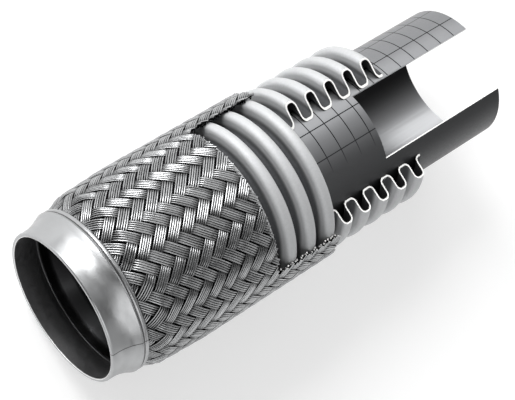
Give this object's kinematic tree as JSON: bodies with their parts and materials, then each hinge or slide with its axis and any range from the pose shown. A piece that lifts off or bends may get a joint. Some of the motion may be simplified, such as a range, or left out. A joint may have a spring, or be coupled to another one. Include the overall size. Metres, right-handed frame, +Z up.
{
  "type": "exhaust flex pipe",
  "caption": "Braided exhaust flex pipe cut open in steps, so that its collar, wire braid, bellows and inner liner show one inside the other.",
  "frame": {"origin": "centre of the inlet neck's rim, on the pipe's axis", "axes": "+X along the pipe from the inlet rim to the open end, +Z up as the pipe lies, with the cut-away sector uppermost"},
  "size_m": [0.2036, 0.0754, 0.0756],
  "materials": {
    "collar_steel": "satin, drawn",
    "braid_wire": "woven bright wire",
    "bellows_steel": "satin, formed",
    "liner_steel": "dull, scored with a grid"
  },
  "bodies": {
    "root": {"end_collar": "collar_steel", "outer_braid": "braid_wire", "bellows": "bellows_steel", "liner": "liner_steel"}
  },
  "joints": []
}
